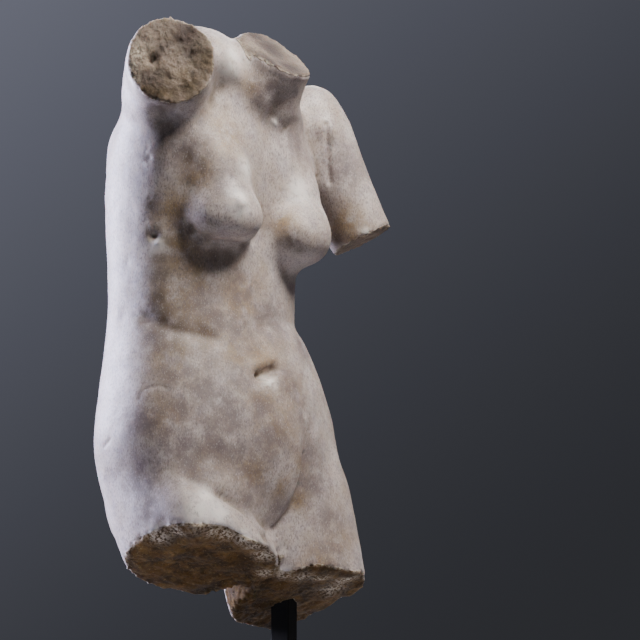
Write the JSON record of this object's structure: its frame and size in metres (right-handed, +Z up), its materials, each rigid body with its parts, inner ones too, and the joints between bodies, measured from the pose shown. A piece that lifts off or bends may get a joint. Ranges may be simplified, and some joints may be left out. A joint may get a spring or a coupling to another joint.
{
  "type": "marble torso on a post",
  "caption": "Broken marble torso of a nude classical female figure, held up by a square black steel post on a plain square plinth.",
  "frame": {"origin": "centre of the plinth's underside", "axes": "+Z up, the figure faces -Y turned 16 degrees to its right, its right side towards -X; the post and plinth are square to X and Y"},
  "size_m": [0.4211, 0.34, 0.92],
  "materials": {
    "marble": "weathered white marble with ochre and grey patina, rough brown breaks",
    "post paint": "satin black paint on steel",
    "plinth paint": "matt black paint on wood"
  },
  "bodies": {
    "root": {"torso": "marble", "post": "post paint", "plinth": "plinth paint"}
  },
  "joints": []
}
